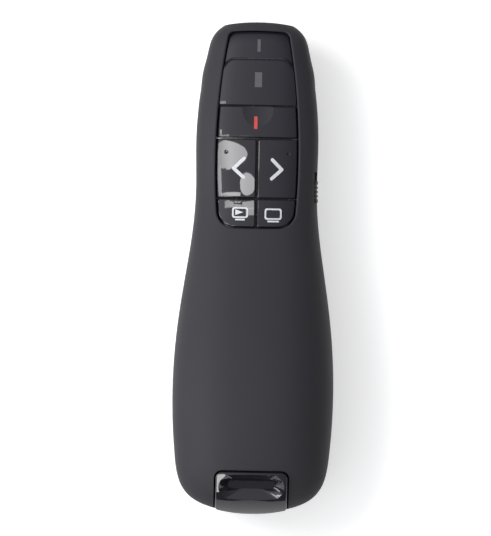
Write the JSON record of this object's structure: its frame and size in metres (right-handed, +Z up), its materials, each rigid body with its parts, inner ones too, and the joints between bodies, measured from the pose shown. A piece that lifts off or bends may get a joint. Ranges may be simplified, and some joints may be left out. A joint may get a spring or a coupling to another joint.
{
  "type": "wireless presentation clicker",
  "caption": "Hand-held wireless presentation clicker with press keys, laser pointer, sliding power switch, sliding battery door and a USB receiver stored in its tail.",
  "frame": {"origin": "bottom centre of the overall box: on the surface that the clicker lies on, under its middle", "axes": "+Y towards the laser end, +Z up through the keys, +X to the right seen from above"},
  "size_m": [0.038, 0.116, 0.0274],
  "materials": {
    "soft_touch_shell": "fine soft-touch coating, dark grey",
    "inner_plastic": "plain moulded plastic",
    "gloss_panel": "polished black",
    "gloss_key": "polished black",
    "smoked_light_pipe": "smoked, frosted from within",
    "board": "black solder mask over glass fibre",
    "chip": "moulded epoxy",
    "bright_metal": "stamped, nickel plated",
    "led": "clear resin",
    "brass": "turned",
    "clear_lens": "polished",
    "key_plastic": "plain moulded plastic",
    "knob_plastic": "fine matt moulded plastic",
    "stem_plastic": "plain moulded plastic",
    "switch_body": "stamped cover",
    "cell_sleeve": "plain printed sleeve over a steel can",
    "contact_metal": "nickel plated spring steel",
    "screw_steel": "zinc plated",
    "white_plastic": "plain moulded plastic",
    "gold_contact": "gold plated",
    "white_print": "pad-printed marks on the keys",
    "red_print": "pad-printed bar on the laser key"
  },
  "bodies": {
    "handset": {"top_shell": "soft_touch_shell", "bottom_shell": "soft_touch_shell", "battery_frame": "inner_plastic", "indicator_panel": "gloss_panel", "signal_light_pipe": "smoked_light_pipe", "battery_light_pipe": "smoked_light_pipe", "circuit_board": "board", "controller_chip": "chip", "radio_chip": "chip", "crystal_can": "bright_metal", "signal_led": "led", "battery_led": "led", "laser_barrel": "brass", "laser_lens": "clear_lens", "laser_window": "clear_lens", "laser_board": "board", "power_switch": "bright_metal", "left_cell": "cell_sleeve", "right_cell": "cell_sleeve", "positive_contact": "contact_metal", "negative_contact": "contact_metal", "bridge_contact": "contact_metal", "case_screws": "screw_steel", "board_screws": "screw_steel", "laser_switch": "switch_body", "back_switch": "switch_body", "forward_switch": "switch_body", "slideshow_switch": "switch_body", "blank_switch": "switch_body"},
    "battery_door": {"battery_door": "soft_touch_shell"},
    "power_slider": {"power_knob": "knob_plastic", "power_lever": "key_plastic"},
    "receiver": {"receiver_cap": "gloss_key", "receiver_case": "inner_plastic", "usb_shell": "bright_metal", "usb_tongue": "white_plastic", "usb_contacts": "gold_contact", "receiver_board": "board", "receiver_chip": "chip"},
    "laser_button": {"laser_key": "gloss_key", "laser_stem": "stem_plastic"},
    "back_button": {"back_key": "gloss_key", "back_stem": "stem_plastic"},
    "forward_button": {"forward_key": "gloss_key", "forward_stem": "stem_plastic"},
    "slideshow_button": {"slideshow_key": "gloss_key", "slideshow_stem": "stem_plastic"},
    "blank_button": {"blank_key": "gloss_key", "blank_stem": "stem_plastic"}
  },
  "joints": [
    {"name": "laser_press", "type": "slide", "parent": "handset", "child": "laser_button", "axis": [0, 0, -1], "range_m": [0, 0.00035], "stiffness_N_per_m": 1500, "springref_m": -0.0003},
    {"name": "back_press", "type": "slide", "parent": "handset", "child": "back_button", "axis": [0, 0, -1], "range_m": [0, 0.00035], "stiffness_N_per_m": 1500, "springref_m": -0.0003},
    {"name": "forward_press", "type": "slide", "parent": "handset", "child": "forward_button", "axis": [0, 0, -1], "range_m": [0, 0.00035], "stiffness_N_per_m": 1500, "springref_m": -0.0003},
    {"name": "slideshow_press", "type": "slide", "parent": "handset", "child": "slideshow_button", "axis": [0, 0, -1], "range_m": [0, 0.00035], "stiffness_N_per_m": 1500, "springref_m": -0.0003},
    {"name": "blank_press", "type": "slide", "parent": "handset", "child": "blank_button", "axis": [0, 0, -1], "range_m": [0, 0.00035], "stiffness_N_per_m": 1500, "springref_m": -0.0003},
    {"name": "power_slide", "type": "slide", "parent": "handset", "child": "power_slider", "axis": [0, 1, 0], "range_m": [0, 0.002]},
    {"name": "door_slide", "type": "slide", "parent": "handset", "child": "battery_door", "axis": [0, -1, 0], "range_m": [0, 0.06]},
    {"name": "receiver_slide", "type": "slide", "parent": "handset", "child": "receiver", "axis": [0, -1, 0], "range_m": [0, 0.04]}
  ]
}
